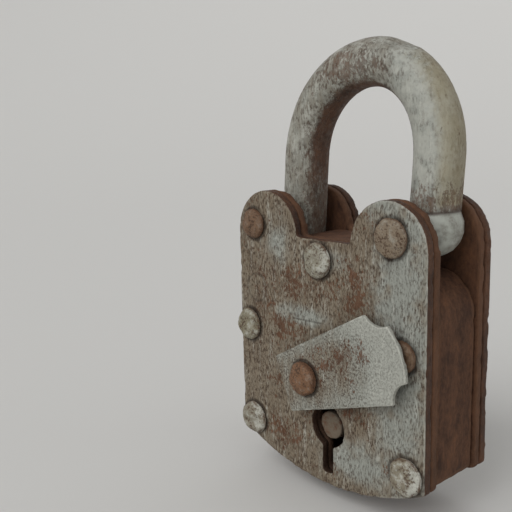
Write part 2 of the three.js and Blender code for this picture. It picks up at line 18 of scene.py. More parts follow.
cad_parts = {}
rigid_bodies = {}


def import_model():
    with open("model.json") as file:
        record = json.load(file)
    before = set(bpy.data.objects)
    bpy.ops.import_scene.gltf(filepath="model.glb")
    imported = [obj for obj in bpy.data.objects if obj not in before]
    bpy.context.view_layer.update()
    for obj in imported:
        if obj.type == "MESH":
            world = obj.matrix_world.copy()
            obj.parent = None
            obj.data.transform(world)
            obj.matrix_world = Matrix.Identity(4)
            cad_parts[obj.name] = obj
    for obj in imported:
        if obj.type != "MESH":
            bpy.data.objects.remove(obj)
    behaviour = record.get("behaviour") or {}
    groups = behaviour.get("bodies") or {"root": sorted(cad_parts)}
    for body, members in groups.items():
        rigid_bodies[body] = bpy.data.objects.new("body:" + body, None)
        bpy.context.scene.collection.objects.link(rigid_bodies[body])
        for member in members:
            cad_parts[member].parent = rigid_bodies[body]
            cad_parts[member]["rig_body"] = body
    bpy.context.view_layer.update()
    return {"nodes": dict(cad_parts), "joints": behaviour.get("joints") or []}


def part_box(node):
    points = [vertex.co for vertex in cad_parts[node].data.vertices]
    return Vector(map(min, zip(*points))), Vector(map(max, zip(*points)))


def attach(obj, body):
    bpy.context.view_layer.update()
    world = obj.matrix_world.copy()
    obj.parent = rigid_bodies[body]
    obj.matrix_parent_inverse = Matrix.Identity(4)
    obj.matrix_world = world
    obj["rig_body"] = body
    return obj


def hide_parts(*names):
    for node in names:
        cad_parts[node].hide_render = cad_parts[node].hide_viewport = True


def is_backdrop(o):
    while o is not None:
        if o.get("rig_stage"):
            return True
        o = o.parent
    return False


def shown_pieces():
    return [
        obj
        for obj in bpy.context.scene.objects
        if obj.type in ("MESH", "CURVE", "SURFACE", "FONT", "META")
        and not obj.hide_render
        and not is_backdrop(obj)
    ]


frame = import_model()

MM = 0.001

# %% [markdown]
# ## Where the plate's marks are measured from
# A mark on a plate is easiest to give as a maker would chalk it: so far from the middle and so
# far above the foot. The plate's own box gives that corner of the frame, so nothing is typed twice.

# %% The plate's middle and foot
plate_low, plate_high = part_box("front_plate")
MIDDLE = (plate_low.x + plate_high.x) / 2 / MM
FOOT = plate_low.z / MM
FRONT_FACE = plate_low.y / MM
BACK_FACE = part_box("back_plate")[1].y / MM
print("middle", round(MIDDLE, 2), "foot", round(FOOT, 2), "faces", round(FRONT_FACE, 2), round(BACK_FACE, 2))

# %% [markdown]
# ## The camera
# The photograph looks at the front from the hinge side and a little from above. A camera can be
# aimed by angles or by a target, but here its right and up directions are known, so they become
# the columns of its matrix and nothing has to be turned into angles.

# %% Camera at the photograph's view
CAMERA_PLACE = Vector((113.79, -137.87, -6.90)) * MM
CAMERA_RIGHT = Vector((0.66327, 0.74794, -0.02557))
CAMERA_UP = Vector((-0.11804, 0.13829, 0.98333))
CAMERA_LENS = 51.95

camera = bpy.data.objects.new("camera", bpy.data.cameras.new("camera"))
bpy.context.scene.collection.objects.link(camera)
camera.data.lens = CAMERA_LENS
camera.data.clip_start = 10 * MM
axes = Matrix((CAMERA_RIGHT, CAMERA_UP, CAMERA_RIGHT.cross(CAMERA_UP))).transposed()
camera.matrix_world = Matrix.Translation(CAMERA_PLACE) @ axes.to_4x4()
bpy.context.scene.camera = camera
print("camera at", [round(x / MM) for x in CAMERA_PLACE], "mm, lens", CAMERA_LENS)

# %% [markdown]
# ## Soft studio light
# A lamp close to a small object falls off across it and across the floor. A sun with a wide disc
# throws the same soft shadow as a big softbox and lights the floor evenly, so the key, the fill
# and a weak rear light are all suns. The world adds the bounce of a pale room.

# %% Lights
KEY = {"from": (-0.05, -0.91, 0.72), "strength": 1.55, "spread": 55}
FILL = {"from": (0.95, -0.10, 0.45), "strength": 0.45, "spread": 90}
REAR = {"from": (-0.45, 0.85, 0.60), "strength": 0.55, "spread": 90}
ROOM = 0.30


def soft_sun(name, settings):
    sun = bpy.data.objects.new(name, bpy.data.lights.new(name, "SUN"))
    bpy.context.scene.collection.objects.link(sun)
    sun.data.energy = settings["strength"]
    sun.data.angle = math.radians(settings["spread"])
    sun.rotation_euler = Vector(settings["from"]).to_track_quat("Z", "Y").to_euler()
    return sun


for light_name, light in (("key", KEY), ("fill", FILL), ("rear", REAR)):
    soft_sun(light_name, light)
world = bpy.data.worlds.new("room")
world.use_nodes = True
world.node_tree.nodes["Background"].inputs["Color"].default_value = (1, 1, 1, 1)
world.node_tree.nodes["Background"].inputs["Strength"].default_value = ROOM
bpy.context.scene.world = world
bpy.context.scene.view_settings.view_transform = "Standard"
print("three soft suns and a room of", ROOM)

# %% [markdown]
# ## A small language for finishes
# A finish is a graph of nodes, which is hard to read when it is wired socket by socket. One class
# wraps a socket, so that `1 - rust * grain` adds the Math nodes by itself. A second class holds the
# material, and its one method `node` adds any node: its settings first, then its sockets.

# %% Sockets that do arithmetic
class Socket:
    """One output of a shader node. Python's operators add Math nodes to its finish."""

    def __init__(self, finish, output):
        self.finish = finish
        self.output = output

    def math(self, operation, first, second=0.0):
        return self.finish.node("ShaderNodeMath", {"operation": operation}, {0: first, 1: second})

    def __add__(self, other):
        return self.math("ADD", self, other)

    def __sub__(self, other):
        return self.math("SUBTRACT", self, other)

    def __rsub__(self, other):
        return self.math("SUBTRACT", other, self)

    def __mul__(self, other):
        return self.math("MULTIPLY", self, other)

    def __abs__(self):
        return self.math("ABSOLUTE", self)

    __radd__ = __add__
    __rmul__ = __mul__


# %% A finish, built node by node
def colour(red, green, blue):
    """A colour as it looks on a screen, 0 to 255, as the linear light that a shader wants."""
    shares = [c / 255 for c in (red, green, blue)]
    return tuple(c / 12.92 if c <= 0.04045 else ((c + 0.055) / 1.055) ** 2.4 for c in shares) + (1.0,)


class Finish:
    """A material under construction, with places on the surface measured in millimetres."""

    def __init__(self, name):
        self.material = bpy.data.materials.new(name)
        self.material.use_nodes = True
        self.tree = self.material.node_tree
        self.tree.nodes.clear()
        metres = self.node("ShaderNodeTexCoord", output="Object")
        self.place = self.node("ShaderNodeVectorMath", {"operation": "SCALE"}, {0: metres, "Scale": 1 / MM})

    def node(self, kind, settings=None, sockets=None, output=0):
        made = self.tree.nodes.new(kind)
        for name, value in (settings or {}).items():
            setattr(made, name, value)
        for key, value in (sockets or {}).items():
            if isinstance(value, Socket):
                self.tree.links.new(value.output, made.inputs[key])
            else:
                made.inputs[key].default_value = value
        return Socket(self, made.outputs[output]) if made.outputs else None

    def mask(self, name):
        """A mask that was painted on the vertices."""
        return self.node("ShaderNodeAttribute", {"attribute_name": name}, output="Fac")

    def along(self, axis):
        """The place along X, Y or Z, in mm."""
        return self.node("ShaderNodeSeparateXYZ", sockets={0: self.place}, output=axis)

    def noise(self, size, detail=3.0, roughness=0.6, stretch=(1, 1, 1), shift=0.0):
        """Cloudy noise, 0 to 1, whose features are about size mm wide times stretch."""
        scale = [1 / (size * s) for s in stretch]
        settings = {"operation": "MULTIPLY_ADD"}
        where = self.node("ShaderNodeVectorMath", settings, {0: self.place, 1: scale, 2: (shift,) * 3})
        sockets = {"Vector": where, "Scale": 1.0, "Detail": detail, "Roughness": roughness}
        return self.node("ShaderNodeTexNoise", sockets=sockets, output="Fac")

    def step(self, value, low, high):
        """0 below low, 1 above high, and a smooth rise between them."""
        settings = {"interpolation_type": "SMOOTHSTEP"}
        return self.node("ShaderNodeMapRange", settings, {"Value": value, "From Min": low, "From Max": high})

    def mix(self, share, first, second):
        """The first colour where share is 0 and the second where it is 1."""
        return self.node("ShaderNodeMix", {"data_type": "RGBA"}, {0: share, 6: first, 7: second}, output=2)

    def surface(self, base, roughness, relief, depth, shine=0.3):
        """Finishes the material: base colour, roughness, a relief of so many mm and how much it shines."""
        bump = {"Height": relief, "Distance": depth * MM, "Strength": 1.0}
        normal = self.node("ShaderNodeBump", sockets=bump)
        sockets = {"Base Color": base, "Roughness": roughness, "Specular IOR Level": shine, "Normal": normal}
        shader = self.node("ShaderNodeBsdfPrincipled", sockets=sockets)
        self.node("ShaderNodeOutputMaterial", sockets={"Surface": shader})
        return self.material


print("ready to write finishes")

# %% [markdown]
# ## The floor
# The lock hangs from its bow, so the floor is only a pale sweep just below the foot that catches
# the soft shadow. A flat disc would show its horizon. Turned up at its rim like a wide bowl, it
# gives a seamless ground from every side. Its profile is spun round the vertical.

# %% Floor
FLOOR_BELOW_FOOT = 4.0
FLOOR_RADIUS = 0.6
RIM_RADIUS = 4.0
RIM_BEND = math.radians(35)
RIM_STEPS = 16
PALE_FLOOR = colour(214, 213, 210)

floor_mesh = bpy.data.meshes.new("floor")
bowl = bmesh.new()
bends = [RIM_BEND * step / RIM_STEPS for step in range(RIM_STEPS + 1)]
line = [bowl.verts.new((0, 0, 0))]
for bend in bends:
    out = FLOOR_RADIUS + RIM_RADIUS * math.sin(bend)
    line.append(bowl.verts.new((out, 0, RIM_RADIUS * (1 - math.cos(bend)))))
threads = [bowl.edges.new(pair) for pair in zip(line, line[1:])]
bmesh.ops.spin(bowl, geom=line + threads, axis=(0, 0, 1), cent=(0, 0, 0), steps=96, angle=2 * math.pi)
bmesh.ops.remove_doubles(bowl, verts=bowl.verts, dist=1e-5)
bmesh.ops.recalc_face_normals(bowl, faces=bowl.faces)
bowl.to_mesh(floor_mesh)
bowl.free()
floor_mesh.shade_smooth()
floor = bpy.data.objects.new("floor", floor_mesh)
floor.location.z = (FOOT - FLOOR_BELOW_FOOT) * MM
bpy.context.scene.collection.objects.link(floor)
sweep = Finish("pale_floor")
floor_mesh.materials.append(sweep.surface(PALE_FLOOR, 0.9, sweep.noise(40.0), 0.02))
floor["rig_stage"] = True
print("floor", FLOOR_BELOW_FOOT, "mm below the foot")

# %% [markdown]
# ## Old iron has no sharp corner left
# The frame's solids have crisp, faceted edges. A worn copy breaks the corners with a small bevel,
# rebuilds the solid as an even skin of tiny faces, and lets that skin relax. A subdivision surface
# would round the corners too, but only an even skin gives dents and pits the same room everywhere.

# %% A worn copy of a solid
SAME_PLACE = 1e-6
FLAT_ANGLE = math.radians(1)
CORNER_ANGLE = math.radians(35)


def worn_copy(node, voxel, bevel):
    """A new piece that stands for a node of the frame: its corners broken and its skin rebuilt."""
    solid = bmesh.new()
    solid.from_mesh(frame["nodes"][node].data)
    bmesh.ops.remove_doubles(solid, verts=solid.verts, dist=SAME_PLACE)
    bmesh.ops.dissolve_limit(solid, angle_limit=FLAT_ANGLE, verts=solid.verts, edges=solid.edges)
    rough = bpy.data.meshes.new(node)
    solid.to_mesh(rough)
    solid.free()
    piece = bpy.data.objects.new(f"worn_{node}", rough)
    bpy.context.scene.collection.objects.link(piece)
    corners = piece.modifiers.new("corners", "BEVEL")
    corners.width = bevel * MM
    corners.segments = 2
    corners.angle_limit = CORNER_ANGLE
    rebuilt = piece.modifiers.new("rebuilt", "REMESH")
    rebuilt.mode = "VOXEL"
    rebuilt.voxel_size = voxel * MM
    graph = bpy.context.evaluated_depsgraph_get()
    piece.data = bpy.data.meshes.new_from_object(piece.evaluated_get(graph))
    piece.modifiers.clear()
    piece.data.materials.clear()
    piece.data.shade_smooth()
    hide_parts(node)
    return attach(piece, frame["nodes"][node]["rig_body"])


# %% The skin as arrays
def rise(values, low, high):
    """0 below low, 1 above high, and a smooth rise between them."""
    share = np.clip((values - low) / (high - low), 0, 1)
    return share * share * (3 - 2 * share)


class Skin:
    """A piece's surface as arrays: places in mm, normals, and the edges between neighbours."""

    def __init__(self, piece):
        self.mesh = piece.data
        pairs = np.empty(2 * len(self.mesh.edges), np.int32)
        self.mesh.edges.foreach_get("vertices", pairs)
        self.pairs = pairs.reshape(-1, 2)
        self.count = np.bincount(pairs)
        self.points = self.read("co") / MM

    def read(self, name):
        values = np.empty(3 * len(self.mesh.vertices), np.float32)
        self.mesh.vertices.foreach_get(name, values)
        return values.reshape(-1, 3).astype(float)

    def write(self):
        self.mesh.vertices.foreach_set("co", (self.points * MM).astype(np.float32).ravel())
        self.mesh.update()

    def neighbours(self, values):
        """The mean of each vertex's neighbours."""
        total = np.zeros_like(values)
        for near, far in ((0, 1), (1, 0)):
            for axis in range(values.shape[1]):
                weights = values[self.pairs[:, far], axis]
                total[:, axis] += np.bincount(self.pairs[:, near], weights, len(values))
        return total / self.count[:, None]

    def relax(self, rounds, share=0.5):
        """Lets each vertex drift towards its neighbours. share may differ from vertex to vertex."""
        for _ in range(rounds):
            self.points += (self.neighbours(self.points) - self.points) * share
        self.write()

    def normals(self):
        return self.read("normal")

    def bulge(self, rounds=6):
        """How far each vertex stands proud of the skin around it, in mm."""
        calm = self.points
        for _ in range(rounds):
            calm = self.neighbours(calm)
        return ((self.points - calm) * self.normals()).sum(1)

    def noise(self, size, shift=0.0):
        """Smooth noise from -1 to 1 with features about size mm wide."""
        return np.array([noise.noise(Vector(p)) for p in self.points / size + shift])

    def press(self, depth):
        """Pushes the skin inwards by so many mm."""
        self.points -= self.normals() * np.reshape(depth, (-1, 1))
        self.write()

    def mark(self, name, values):
        """Paints a mask on the vertices, for the finish to read."""
        attribute = self.mesh.attributes.new(name, "FLOAT", "POINT")
        attribute.data.foreach_set("value", np.clip(values, 0, 1).astype(np.float32))


EDGE_BULGE = 0.12


def weather(skin, wave, chips, pits):
    """Slow waves, nibbled edges and small pits, each a depth in mm. Returns the edge mask."""
    edge = rise(skin.bulge(), 0.2 * EDGE_BULGE, EDGE_BULGE)
    skin.press(wave * (0.5 + 0.5 * skin.noise(11.0)))
    skin.press(chips * edge * rise(skin.noise(2.4, 7.0), 0.0, 0.6))
    skin.press(pits * rise(skin.noise(1.3, 3.0), 0.25, 0.6))
    return edge


print("skins relax, dent and take masks")

# %% [markdown]
# ## Rust and pale skin, the two finishes that everything shares
# Bare rusted iron is a red-brown ground with darker and more orange clouds and a granular relief.
# The pale skin over the plates, the bar and the cover is an old coat worn to a chalky grey, with
# fine dark dashes down its grain and rust breaking through in speckles. Both are functions that
# add their nodes to a finish and return a colour, so each piece can mix them its own way.

# %% Rust and pale skin
RUST_DARK = colour(60, 39, 28)
RUST = colour(98, 67, 48)
RUST_ORANGE = colour(134, 88, 58)
PALE_WARM = colour(124, 112, 95)
PALE_COOL = colour(147, 149, 141)
CHALK = colour(194, 194, 184)
GRAIN_BROWN = colour(72, 55, 41)
# The darkest brown below serves real dirt specks and stains, and also painted shade round rivet heads and in
# the keyhole.
SHADE_AND_GRIME = colour(46, 35, 26)


def rust_colour(finish, shift=0.0):
    """Red-brown rust with fine dark and orange grains and slow clouds."""
    cloud = finish.noise(6.0, 6.0, 0.7, (1, 1, 1.6), shift)
    grains = finish.noise(0.8, 4.0, 0.75, (1, 1, 1.8), shift + 4.0)
    ground = finish.mix(finish.step(cloud * 0.6 + grains * 0.4, 0.36, 0.60), RUST_DARK, RUST)
    ground = finish.mix(finish.step(cloud * 0.5 + grains * 0.5, 0.54, 0.70) * 0.6, ground, RUST_ORANGE)
    return finish.mix(finish.step(grains, 0.58, 0.72) * 0.45, ground, RUST_DARK)


def grain(finish, width=0.42, length=3.0, shift=0.0):
    """Fine dashes down the plate, 0 to 1."""
    return finish.noise(width, 3.0, 0.7, (1, 1, length), shift)


def pale_colour(finish, cool, dashes):
    """Chalky skin between a warm and a cool grey, with pale streaks and dark dashes."""
    cloud = finish.noise(4.0, 5.0, 0.65, (1, 1, 1.8), 11.0)
    streaks = finish.noise(1.3, 3.0, 0.6, (1, 1, 9), 15.0)
    ground = finish.mix(finish.step(cool + cloud * 0.6 + streaks * 0.5, 0.5, 1.3), PALE_WARM, PALE_COOL)
    ground = finish.mix(finish.step(streaks * 0.5 + (1 - dashes) * 0.5, 0.52, 0.68) * 0.5, ground, CHALK)
    stain = finish.step(1 - cloud + dashes * 0.3 - cool * 0.15, 0.62, 0.86)
    ground = finish.mix(stain * 0.45, ground, GRAIN_BROWN)
    specks = finish.noise(0.45, 2.0, 0.6, (1, 1, 1.7), 27.0)
    dots = finish.step(specks * 0.6 + dashes * 0.4, 0.56, 0.66) * (0.75 - cool * 0.3)
    ground = finish.mix(dots, ground, SHADE_AND_GRIME)
    patches = finish.step(finish.noise(3.0, 3.0, 0.6, (1, 1, 1.5), 33.0), 0.38, 0.6)
    dark = finish.step(dashes, 0.49, 0.60) * (0.95 - cool * 0.5) * (patches * 0.65 + 0.35)
    return finish.mix(dark, ground, GRAIN_BROWN)


def speckle(finish, amount, shift=0.0):
    """Rust that breaks through in grains: amount is how much of the skin it takes, 0 to 1."""
    fine = finish.noise(0.6, 4.0, 0.75, (1, 1, 1.9), shift)
    clusters = finish.noise(2.6, 5.0, 0.7, (1, 1, 1.3), shift + 2.0)
    return finish.step(fine * 0.52 + clusters * 0.48 + amount * 0.13, 0.572, 0.622)


print("shared finishes ready")

# %% [markdown]
# ## The plates
# Each side of the lock is two laminations of thick sheet. The outer ones keep most of their pale
# skin on the face, but their sawn edges are rust. Where rust has broken through, where the
# skin stayed clean and where painted shade with some grime sits round the rivet heads is painted
# on the vertices. The fine grain that breaks these masks up comes from the finish.

# %% Rivets and where their heads sit
THROUGH_RIVETS = [
    "hinge_rivet", "top_rivet", "mid_rivet_left", "mid_rivet_right", "low_rivet_left", "low_rivet_right",
]
FRONT_RIVETS = THROUGH_RIVETS + ["toe_ear_rivet_front"]
BACK_RIVETS = THROUGH_RIVETS + ["toe_ear_rivet_back"]


def head_of(rivet):
    """Middle of a rivet's head across and up, and its radius, in mm."""
    low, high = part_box(rivet)
    return (low.x + high.x) / 2 / MM, (low.z + high.z) / 2 / MM, (high.x - low.x) / 2 / MM


def patches_at(skin, patches):
    """Soft round patches on a plate: across from its middle, up from its foot, half sizes, strength."""
    cover = np.zeros(len(skin.points))
    for across, up, half_width, half_height, strength in patches:
        x = (skin.points[:, 0] - MIDDLE - across) / half_width
        z = (skin.points[:, 2] - FOOT - up) / half_height
        cover = np.maximum(cover, strength * (1 - rise(np.hypot(x, z), 0.2, 1.5)))
    return cover * (0.8 + 0.5 * skin.noise(5.0, 2.0) + 0.4 * skin.noise(1.8, 6.0))


# %% Worn plates
KEYHOLE_UP = 13.0
FRONT_RUST = [
    (-8.0, 49.5, 14.0, 5.0, 0.9), (9.3, 50.5, 6.0, 8.0, 1.0), (-12.6, 37.5, 6.5, 5.5, 1.0),
    (-20.0, 44.0, 5.0, 12.0, 0.6), (-17.5, 24.0, 4.0, 6.0, 0.7), (-13.5, 9.5, 8.0, 5.0, 0.85),
    (11.5, 21.0, 6.0, 3.0, 0.95), (-3.0, 15.0, 4.0, 9.0, 0.6), (4.0, 4.0, 7.0, 3.0, 0.6),
    (-26.0, 66.0, 4.0, 12.0, 0.6), (22.0, 8.5, 5.0, 5.0, 0.6), (16.0, 66.0, 5.0, 5.0, 0.7),
]
FRONT_CLEAN = [
    (23.0, 42.0, 8.0, 40.0, 1.0), (-7.0, 42.0, 9.0, 2.6, 0.9), (20.6, 72.0, 9.0, 6.0, 0.7),
    (-15.0, 60.0, 4.0, 8.0, 0.6), (10.0, 9.0, 12.0, 6.0, 0.8), (2.0, 57.0, 8.0, 3.0, 0.4),
]
BACK_RUST = [
    (16.0, 58.0, 16.0, 16.0, 0.75), (2.0, 40.0, 10.0, 14.0, 0.55), (-4.0, 18.0, 8.0, 8.0, 0.6),
    (20.0, 22.0, 9.0, 12.0, 0.5), (24.0, 8.0, 7.0, 8.0, 0.9),
]
BACK_CLEAN = [
    (-25.0, 50.0, 3.5, 12.0, 1.0), (-10.0, 44.0, 8.0, 14.0, 0.8), (-12.0, 10.0, 16.0, 9.0, 0.85),
    (8.0, 26.0, 9.0, 9.0, 0.6), (-20.0, 26.0, 8.0, 10.0, 0.7),
]


def worn_plate(node, voxel, outward, rivets, rust, clean):
    """One outer lamination. outward is the sign of Y on its shown face."""
    plate = worn_copy(node, voxel, bevel=0.4)
    skin = Skin(plate)
    skin.relax(3)
    edge = weather(skin, wave=0.12, chips=0.2, pits=0.09)
    # Painted shade, with some grime: a dark ring round each rivet head, where it meets the plate.
    grime_and_shade = np.zeros(len(skin.points))
    for x, z, radius in map(head_of, rivets):
        out = np.hypot(skin.points[:, 0] - x, skin.points[:, 2] - z) - radius
        grime_and_shade = np.maximum(grime_and_shade, (1 - rise(out, 0.1, 1.5)) * (0.75 + 0.4 * skin.noise(3.0, x)))
    across = skin.points[:, 0] - MIDDLE
    up = skin.points[:, 2] - FOOT
    # The keyhole area gets no rubbed rim, and its walls take painted shade in the finish.
    keyhole = 1 - rise(np.hypot(across, up - KEYHOLE_UP), 10, 13)
    skin.mark("edge", edge * (1 - keyhole) * (0.35 + 0.65 * rise(across, 5, 25)))
    skin.mark("side", 1 - rise(outward * skin.normals()[:, 1], 0.3, 0.7))
    skin.mark("rust", patches_at(skin, rust))
    skin.mark("clean", patches_at(skin, clean))
    skin.mark("grime_and_shade", grime_and_shade)
    skin.mark("hole", keyhole)
    print(plate.name, len(plate.data.polygons), "faces")
    return plate


front_plate = worn_plate("front_plate", 0.36, -1, FRONT_RIVETS, FRONT_RUST, FRONT_CLEAN)
back_plate = worn_plate("back_plate", 0.42, 1, BACK_RIVETS, BACK_RUST, BACK_CLEAN)

# %% [markdown]
# The plates' finish reads those masks. Three small marks are drawn by distance alone: a faint
# ring stain, a scratch above the cover, and the dark run below the hinge rivet.

# %% Plate finish
RING = {"across": -23.3, "up": 46.6, "radius": 3.6}
SCRATCH = {"from": -11.0, "to": 1.0, "up": 40.7, "slope": 0.04, "fade": 2}
RUN = {"across": 20.0, "top": 59.5, "bottom": 54.5}


def front_marks(finish, across, up):
    """Ring, scratch and run, 0 to 1."""
    from_ring_x = across - RING["across"]
    from_ring_z = up - RING["up"]
    squares = from_ring_x * from_ring_x + from_ring_z * from_ring_z
    distance = finish.node("ShaderNodeMath", {"operation": "SQRT"}, {0: squares})
    ring = 1 - finish.step(abs(distance - RING["radius"]), 0.1, 0.5)
    off_scratch = abs(up - SCRATCH["up"] - (across - SCRATCH["from"]) * SCRATCH["slope"])
    begun = finish.step(across, SCRATCH["from"], SCRATCH["from"] + SCRATCH["fade"])
    ended = finish.step(across, SCRATCH["to"] - SCRATCH["fade"], SCRATCH["to"])
    scratch = (1 - finish.step(off_scratch, 0.08, 0.35)) * (begun * (1 - ended))
    down_run = finish.step(up, RUN["bottom"], RUN["top"])
    under_head = 1 - finish.step(up, RUN["top"] + 4, RUN["top"] + 5)
    run = (1 - finish.step(abs(across - RUN["across"]), 0.3, 1.6)) * down_run * under_head
    return ring * 0.45 + scratch * 0.6 + run * 0.55


def plate_finish(name, marks=None, dash=3.0, chalk=0.0, rim=0.25):
    """Pale skin over rust. dash is how long its grain is, chalk how white its clean part, rim its edge."""
    finish = Finish(name)
    dashes = grain(finish, length=dash)
    rust_mask = speckle(finish, finish.mask("rust") - finish.mask("clean") * 0.35)
    skin = pale_colour(finish, finish.mask("clean"), dashes)
    whiter = finish.step(finish.mask("clean") + finish.noise(1.6, 4.0, 0.7) * 0.6, 0.7, 1.3)
    skin = finish.mix(whiter * chalk, skin, CHALK)
    rusty = rust_colour(finish)
    face = finish.mix(rust_mask * 0.85, skin, finish.mix(dashes * 0.35, rusty, RUST_ORANGE))
    rubbed = finish.step(finish.mask("edge") * (0.3 + finish.noise(1.6, 4.0, 0.7)), 0.35, 0.8)
    face = finish.mix(rubbed * rim, face, CHALK)
    # Painted shade round the rivet heads, with some grime, together with the real ring, scratch and run
    # stains.
    dirt_and_shade = finish.step(finish.mask("grime_and_shade") + dashes * 0.3, 0.35, 1.1)
    if marks:
        dirt_and_shade = dirt_and_shade + marks(finish, finish.along("X") - MIDDLE, finish.along("Z") - FOOT) * (0.5 + dashes)
    face = finish.mix(dirt_and_shade * 0.8, face, SHADE_AND_GRIME)
    side = finish.step(finish.mask("side") + (finish.noise(1.5) - 0.5) * 0.3, 0.35, 0.65)
    # The sawn edges are rust; the keyhole's walls are darkened with painted shade.
    sawn = finish.mix(finish.mask("hole") * 0.6, finish.mix(dashes * 0.5, rusty, RUST_DARK), SHADE_AND_GRIME)
    sawn = finish.mix(finish.mask("rust") * (1 - finish.mask("hole")) * 0.6, sawn, RUST_ORANGE)
    base = finish.mix(side, face, sawn)
    roughness = 0.6 + rust_mask * 0.2 - rubbed * 0.15
    granular = finish.noise(0.5, 4.0, 0.75) * (0.4 + rust_mask * 0.5)
    relief = (1 - finish.step(dashes, 0.48, 0.68)) * 0.6 + granular
    return finish.surface(base, roughness, relief, 0.16)


front_plate.data.materials.append(plate_finish("front_plate_skin", front_marks))
back_plate.data.materials.append(plate_finish("back_plate_skin", dash=5.0, chalk=0.3))
print("plates painted")

# %% [markdown]
# ## Liners and case
# The inner laminations and the wall of the case never had a coat that lasted: they are dark
# red-brown all over, a little lighter where hands rubbed their edges. They share one finish.

# %% Liners and case
def rust_finish(name, rubbed_colour):
    finish = Finish(name)
    ground = rust_colour(finish, 21.0)
    streak = finish.noise(0.6, 3.0, 0.6, (1, 1, 7), 5.0)
    ground = finish.mix(finish.step(streak, 0.55, 0.75) * 0.25, ground, RUST_ORANGE)
    rubbed = finish.step(finish.mask("edge") * (0.4 + finish.noise(2.0)), 0.3, 0.8)
    base = finish.mix(rubbed * 0.35, ground, rubbed_colour)
    # Painted shade, with some grime, where the mask was painted: darkest where the liners show through the
    # keyhole.
    base = finish.mix(finish.mask("grime_and_shade") * 0.8, base, SHADE_AND_GRIME)
    relief = finish.noise(0.45, 5.0, 0.75) + streak * 0.5
    return finish.surface(base, 0.8, relief, 0.14)


EDGE_TAN = colour(114, 82, 60)
liner_finish = rust_finish("rusty_iron", EDGE_TAN)
for node, voxel in (("front_liner", 0.6), ("back_liner", 0.6), ("case_band", 0.55)):
    piece = worn_copy(node, voxel, bevel=0.45)
    skin = Skin(piece)
    skin.relax(2)
    skin.mark("edge", weather(skin, wave=0.08, chips=0.2, pits=0.08))
    # Painted shade on the liners and case round the keyhole, deep in its recess.
    from_keyhole = np.hypot(skin.points[:, 0] - MIDDLE, skin.points[:, 2] - FOOT - KEYHOLE_UP)
    skin.mark("grime_and_shade", 0.8 * (1 - rise(from_keyhole, 9, 14)))
    piece.data.materials.append(liner_finish)
    print(piece.name, len(piece.data.polygons), "faces")

# %% [markdown]
# ## The shackle
# The shackle is one bar, forged round, with a ball at the hinge and a toe that drops into the case.
# It is palest where hands and chains rubbed it and brown inside the bow, where nothing reaches: rust there,
# with painted shade that deepens up into the arch.
# The bar's facets are relaxed away. The ball, its collar and the toe, where the bolt needs its
# notch, are held back so that they keep their shape.

# %% Worn shackle
hinge = next(joint for joint in frame["joints"] if joint["name"] == "shackle_swing")
HINGE_X = hinge["pos_m"][0] / MM
HINGE_Z = hinge["pos_m"][2] / MM
COLLAR_ABOVE_HINGE = 4.6
COLLAR_LEAN = 0.05
BOW_SPRING_Z = -16.0
DENT = {"place": (9.6, -1.5, 11.0), "radius": 5.0, "depth": 0.9}
NOTCH_UP = 61.5

shackle = worn_copy("shackle", 0.4, bevel=0.3)
skin = Skin(shackle)
x, y, z = skin.points.T
above_collar = z - HINGE_Z - COLLAR_ABOVE_HINGE - (x - HINGE_X) * COLLAR_LEAN
at_heel = rise(x - HINGE_X, -12, -9) * (1 - rise(above_collar, 0.8, 2.0))
at_toe = (1 - rise(x, -6, -3)) * (1 - rise(z - FOOT - NOTCH_UP, -4, -1))
skin.relax(26, share=(0.5 * (1 - 0.95 * np.maximum(at_heel, at_toe)))[:, None])
to_dent = np.linalg.norm(skin.points - np.array(DENT["place"]), axis=1)
skin.press(DENT["depth"] * (1 - rise(to_dent, 0.2 * DENT["radius"], DENT["radius"])))
shackle_edge = weather(skin, wave=0.28, chips=0.2, pits=0.08)
x, y, z = skin.points.T
normals = skin.normals()
to_inside = np.column_stack([-x, np.zeros(len(x)), np.minimum(BOW_SPRING_Z - z, 0)])
to_inside /= np.linalg.norm(to_inside, axis=1)[:, None]
facing_in = (normals * to_inside).sum(1)
brown_arch = 1 - rise(np.hypot((x + 4) / 13, (z - 4.5) / 5.5), 0.3, 1.2)
low_on_leg = 1 - rise(z - FOOT - NOTCH_UP, -1, 13)
skin.mark("edge", shackle_edge)
above_heel = rise(above_collar, -0.4, 0.6) * (1 - rise(above_collar, 1, 10))
above_heel *= rise(x - HINGE_X, -14, -11)
skin.mark("rust", np.maximum.reduce([
    rise(facing_in, 0.45, 0.95),
    0.9 * brown_arch * rise(-normals[:, 1], 0, 0.6),
    0.75 * low_on_leg * (1 - at_heel),
    above_heel,
    0.5 * rise(normals[:, 1], 0.2, 0.8),
]))
# Painted shade with rust on the bow's inner faces: it deepens up into the arch.
in_arch = rise(z - BOW_SPRING_Z, -14, 4)
skin.mark("inside", rise(facing_in, 0.62, 0.95) * (0.35 + 0.65 * in_arch) * (1 - at_heel))
rubbed_front = rise(-normals[:, 1], 0.1, 0.8) * rise(x, 6, 16)
skin.mark("clean", rubbed_front * (1 - low_on_leg * 0.6) * (1 - above_heel))
skin.mark("yellow", rise(normals[:, 0], 0.35, 0.8) * rise(x, 4, 12) * (1 - at_heel))
skin.mark("ball", at_heel * (1 - rise(above_collar, -0.2, 0.1)))
skin.mark("collar", (1 - rise(abs(above_collar), 0.15, 0.6)) * rise(x - HINGE_X, -12, -9))
print(shackle.name, len(shackle.data.polygons), "faces")


# %% Shackle finish
BAR_YELLOW = colour(152, 141, 112)
BALL_PALE = colour(176, 179, 170)


